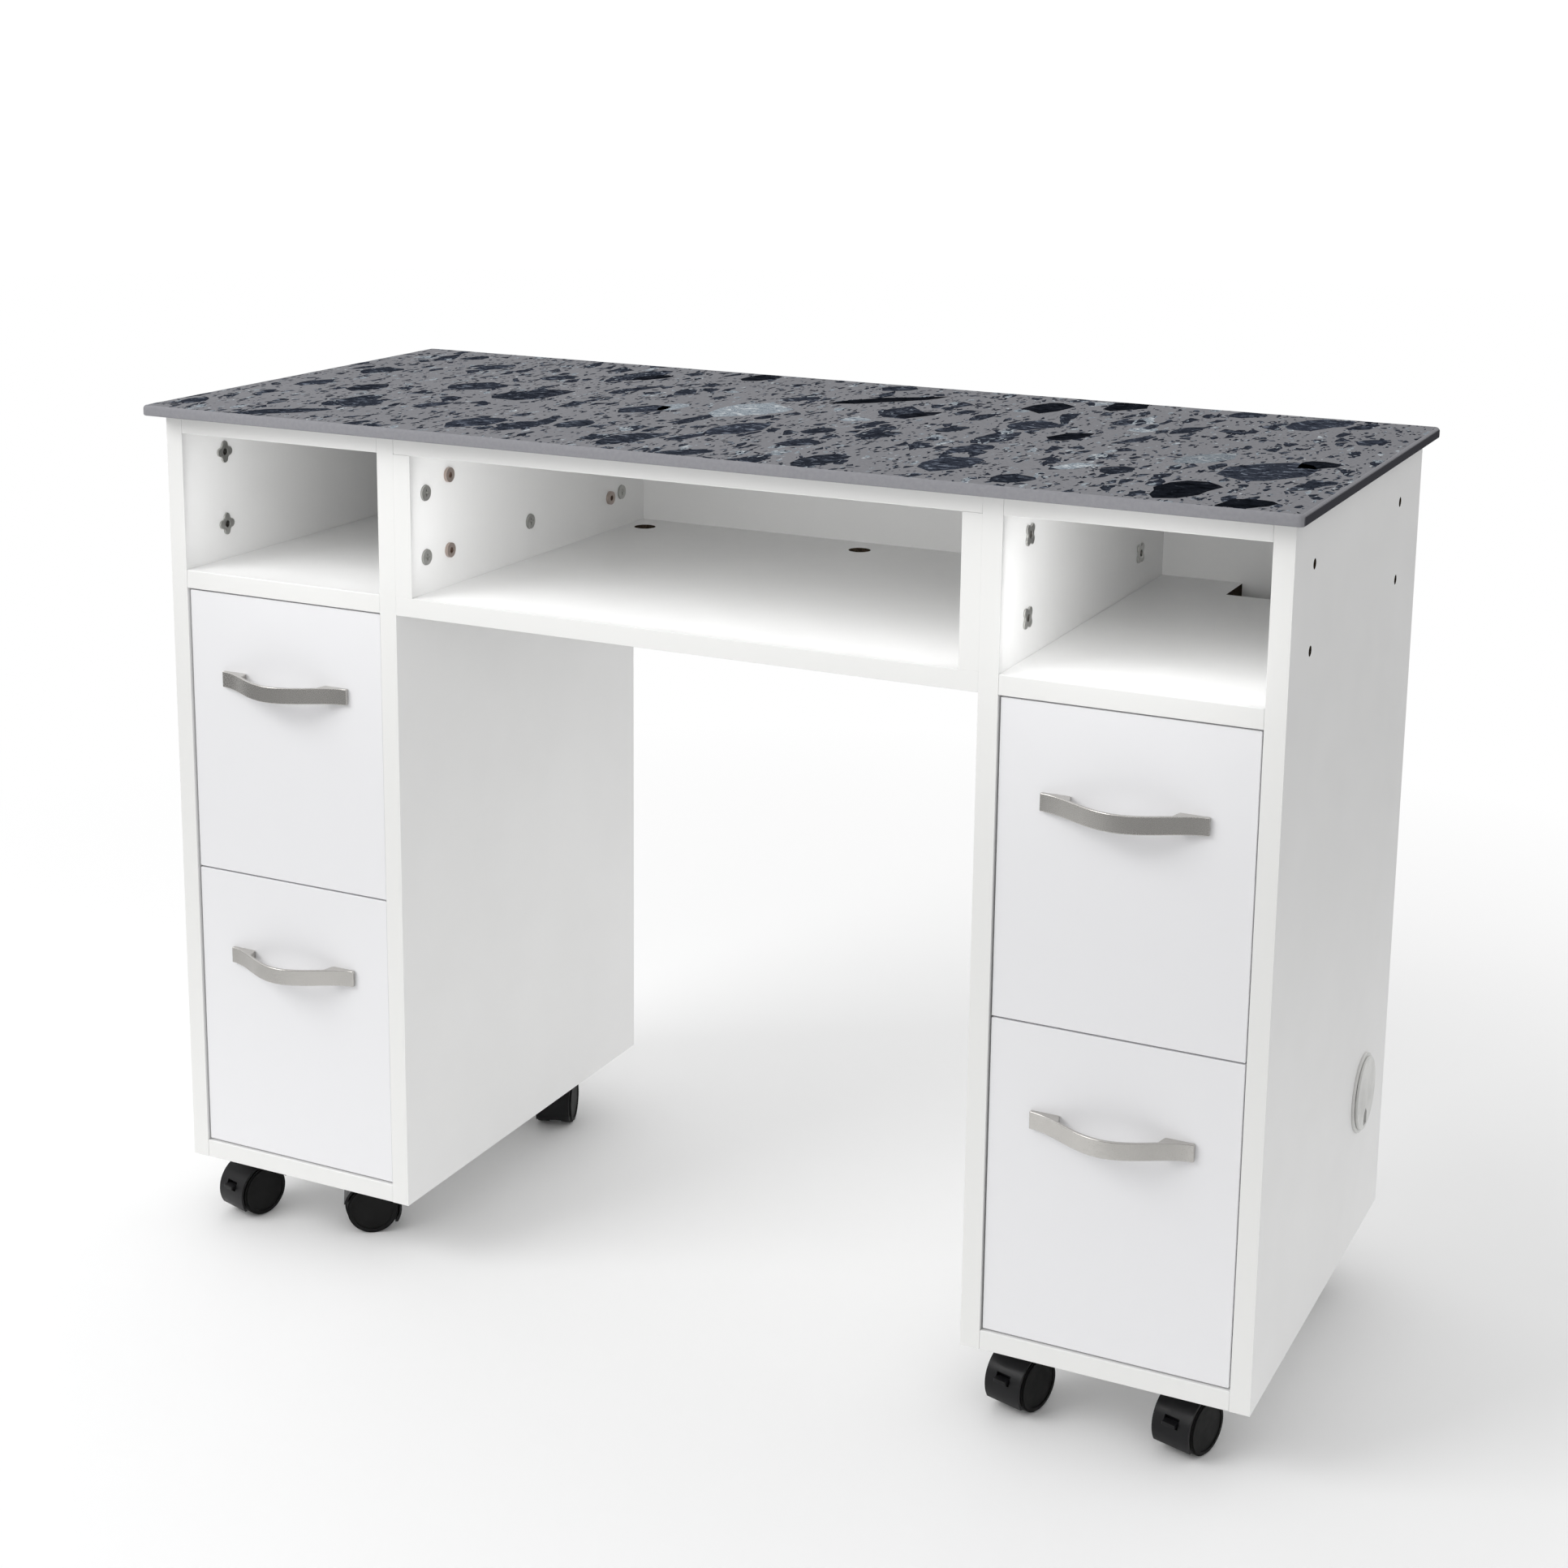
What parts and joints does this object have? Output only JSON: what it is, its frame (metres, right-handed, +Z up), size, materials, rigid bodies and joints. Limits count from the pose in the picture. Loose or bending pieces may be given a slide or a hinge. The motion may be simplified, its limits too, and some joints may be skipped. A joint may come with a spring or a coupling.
{
  "type": "manicure table",
  "caption": "Manicure table: thin terrazzo-look worktop on drawer pedestals with casters, joined by an open shelf box over the knee space.",
  "frame": {"origin": "on the floor, under the middle of the whole outline", "axes": "+X to the user's right along the worktop, +Y to the back, +Z up; drawers and handles face -Y"},
  "size_m": [1, 0.446, 0.747],
  "materials": {
    "terrazzo": "satin cast terrazzo look with dark slate chips",
    "melamine": "white melamine-faced particle board, satin",
    "drawer_front": "white melamine, slightly cooler",
    "drawer_box": "white foil board",
    "back_panel": "white foil board",
    "zinc_steel": "bright zinc",
    "yellow_zinc": "pale yellow zinc",
    "caster_steel": "black",
    "white_plastic": "satin",
    "brushed_nickel": "brushed nickel",
    "black_plastic": "satin black nylon",
    "wheel_plastic": "fine-textured black nylon"
  },
  "bodies": {
    "table": {"worktop": "terrazzo", "left_outer_side": "melamine", "left_inner_side": "melamine", "right_inner_side": "melamine", "right_outer_side": "melamine", "left_top_board": "melamine", "centre_top_board": "melamine", "right_top_board": "melamine", "left_shelf": "melamine", "centre_shelf": "melamine", "right_shelf": "melamine", "left_bottom_board": "melamine", "right_bottom_board": "melamine", "pedestal_back_panels": "back_panel", "centre_back_panel": "back_panel", "left_lining_board": "melamine", "right_lining_board": "melamine", "connector_bolts": "yellow_zinc", "t_nuts": "zinc_steel", "lining_screws": "zinc_steel", "drawer_rails": "zinc_steel", "caster_plates": "caster_steel", "grommet_sleeve": "white_plastic"},
    "grommet_cap": {"grommet_cap": "white_plastic"},
    "left_upper_drawer": {"left_upper_drawer_front": "drawer_front", "left_upper_drawer_box": "drawer_box", "left_upper_drawer_handle": "brushed_nickel", "left_upper_drawer_runners": "zinc_steel"},
    "left_lower_drawer": {"left_lower_drawer_front": "drawer_front", "left_lower_drawer_box": "drawer_box", "left_lower_drawer_handle": "brushed_nickel", "left_lower_drawer_runners": "zinc_steel"},
    "right_upper_drawer": {"right_upper_drawer_front": "drawer_front", "right_upper_drawer_box": "drawer_box", "right_upper_drawer_handle": "brushed_nickel", "right_upper_drawer_runners": "zinc_steel"},
    "right_lower_drawer": {"right_lower_drawer_front": "drawer_front", "right_lower_drawer_box": "drawer_box", "right_lower_drawer_handle": "brushed_nickel", "right_lower_drawer_runners": "zinc_steel"},
    "left_front_outer_caster": {"left_front_outer_caster_hood": "black_plastic"},
    "left_front_outer_wheels": {"left_front_outer_caster_wheels": "wheel_plastic"},
    "left_front_outer_brake": {"left_front_outer_brake_lever": "black_plastic"},
    "left_front_inner_caster": {"left_front_inner_caster_hood": "black_plastic"},
    "left_front_inner_wheels": {"left_front_inner_caster_wheels": "wheel_plastic"},
    "left_front_inner_brake": {"left_front_inner_brake_lever": "black_plastic"},
    "right_front_inner_caster": {"right_front_inner_caster_hood": "black_plastic"},
    "right_front_inner_wheels": {"right_front_inner_caster_wheels": "wheel_plastic"},
    "right_front_inner_brake": {"right_front_inner_brake_lever": "black_plastic"},
    "right_front_outer_caster": {"right_front_outer_caster_hood": "black_plastic"},
    "right_front_outer_wheels": {"right_front_outer_caster_wheels": "wheel_plastic"},
    "right_front_outer_brake": {"right_front_outer_brake_lever": "black_plastic"},
    "left_rear_outer_caster": {"left_rear_outer_caster_hood": "black_plastic"},
    "left_rear_outer_wheels": {"left_rear_outer_caster_wheels": "wheel_plastic"},
    "left_rear_inner_caster": {"left_rear_inner_caster_hood": "black_plastic"},
    "left_rear_inner_wheels": {"left_rear_inner_caster_wheels": "wheel_plastic"},
    "right_rear_inner_caster": {"right_rear_inner_caster_hood": "black_plastic"},
    "right_rear_inner_wheels": {"right_rear_inner_caster_wheels": "wheel_plastic"},
    "right_rear_outer_caster": {"right_rear_outer_caster_hood": "black_plastic"},
    "right_rear_outer_wheels": {"right_rear_outer_caster_wheels": "wheel_plastic"}
  },
  "joints": [
    {"name": "left_upper_drawer_slide", "type": "slide", "parent": "table", "child": "left_upper_drawer", "axis": [0, -1, 0], "range_m": [0, 0.22]},
    {"name": "left_lower_drawer_slide", "type": "slide", "parent": "table", "child": "left_lower_drawer", "axis": [0, -1, 0], "range_m": [0, 0.22]},
    {"name": "right_upper_drawer_slide", "type": "slide", "parent": "table", "child": "right_upper_drawer", "axis": [0, -1, 0], "range_m": [0, 0.22]},
    {"name": "right_lower_drawer_slide", "type": "slide", "parent": "table", "child": "right_lower_drawer", "axis": [0, -1, 0], "range_m": [0, 0.22]},
    {"name": "left_front_outer_swivel", "type": "hinge", "parent": "table", "child": "left_front_outer_caster", "pos_m": [-0.448, -0.151, 0.058], "axis": [0, 0, 1], "continuous": true},
    {"name": "left_front_outer_axle", "type": "hinge", "parent": "left_front_outer_caster", "child": "left_front_outer_wheels", "pos_m": [-0.45131, -0.16254, 0.0225], "axis": [0.9613, -0.2756, 0], "continuous": true},
    {"name": "left_front_outer_brake", "type": "hinge", "parent": "left_front_outer_caster", "child": "left_front_outer_brake", "pos_m": [-0.45751, -0.18416, 0.03], "axis": [0.9613, -0.2756, 0], "range_deg": [-14, 0]},
    {"name": "left_front_inner_swivel", "type": "hinge", "parent": "table", "child": "left_front_inner_caster", "pos_m": [-0.346, -0.147, 0.058], "axis": [0, 0, 1], "continuous": true},
    {"name": "left_front_inner_axle", "type": "hinge", "parent": "left_front_inner_caster", "child": "left_front_inner_wheels", "pos_m": [-0.33617, -0.14012, 0.0225], "axis": [-0.5736, 0.8192, 0], "continuous": true},
    {"name": "left_front_inner_brake", "type": "hinge", "parent": "left_front_inner_caster", "child": "left_front_inner_brake", "pos_m": [-0.31774, -0.12721, 0.03], "axis": [-0.5736, 0.8192, 0], "range_deg": [-14, 0]},
    {"name": "right_front_inner_swivel", "type": "hinge", "parent": "table", "child": "right_front_inner_caster", "pos_m": [0.299, -0.147, 0.058], "axis": [0, 0, 1], "continuous": true},
    {"name": "right_front_inner_axle", "type": "hinge", "parent": "right_front_inner_caster", "child": "right_front_inner_wheels", "pos_m": [0.29569, -0.15854, 0.0225], "axis": [0.9613, -0.2756, 0], "continuous": true},
    {"name": "right_front_inner_brake", "type": "hinge", "parent": "right_front_inner_caster", "child": "right_front_inner_brake", "pos_m": [0.28949, -0.18016, 0.03], "axis": [0.9613, -0.2756, 0], "range_deg": [-14, 0]},
    {"name": "right_front_outer_swivel", "type": "hinge", "parent": "table", "child": "right_front_outer_caster", "pos_m": [0.436, -0.147, 0.058], "axis": [0, 0, 1], "continuous": true},
    {"name": "right_front_outer_axle", "type": "hinge", "parent": "right_front_outer_caster", "child": "right_front_outer_wheels", "pos_m": [0.43269, -0.15854, 0.0225], "axis": [0.9613, -0.2756, 0], "continuous": true},
    {"name": "right_front_outer_brake", "type": "hinge", "parent": "right_front_outer_caster", "child": "right_front_outer_brake", "pos_m": [0.42649, -0.18016, 0.03], "axis": [0.9613, -0.2756, 0], "range_deg": [-14, 0]},
    {"name": "left_rear_outer_swivel", "type": "hinge", "parent": "table", "child": "left_rear_outer_caster", "pos_m": [-0.436, 0.14, 0.058], "axis": [0, 0, 1], "continuous": true},
    {"name": "left_rear_outer_axle", "type": "hinge", "parent": "left_rear_outer_caster", "child": "left_rear_outer_wheels", "pos_m": [-0.4319, 0.12872, 0.0225], "axis": [0.9397, 0.342, 0], "continuous": true},
    {"name": "left_rear_inner_swivel", "type": "hinge", "parent": "table", "child": "left_rear_inner_caster", "pos_m": [-0.308, 0.14, 0.058], "axis": [0, 0, 1], "continuous": true},
    {"name": "left_rear_inner_axle", "type": "hinge", "parent": "left_rear_inner_caster", "child": "left_rear_inner_wheels", "pos_m": [-0.3039, 0.12872, 0.0225], "axis": [0.9397, 0.342, 0], "continuous": true},
    {"name": "right_rear_inner_swivel", "type": "hinge", "parent": "table", "child": "right_rear_inner_caster", "pos_m": [0.308, 0.14, 0.058], "axis": [0, 0, 1], "continuous": true},
    {"name": "right_rear_inner_axle", "type": "hinge", "parent": "right_rear_inner_caster", "child": "right_rear_inner_wheels", "pos_m": [0.3121, 0.12872, 0.0225], "axis": [0.9397, 0.342, 0], "continuous": true},
    {"name": "right_rear_outer_swivel", "type": "hinge", "parent": "table", "child": "right_rear_outer_caster", "pos_m": [0.436, 0.14, 0.058], "axis": [0, 0, 1], "continuous": true},
    {"name": "right_rear_outer_axle", "type": "hinge", "parent": "right_rear_outer_caster", "child": "right_rear_outer_wheels", "pos_m": [0.4401, 0.12872, 0.0225], "axis": [0.9397, 0.342, 0], "continuous": true},
    {"name": "grommet_turn", "type": "hinge", "parent": "table", "child": "grommet_cap", "pos_m": [0.49, 0.119, 0.194], "axis": [1, 0, 0], "continuous": true}
  ]
}
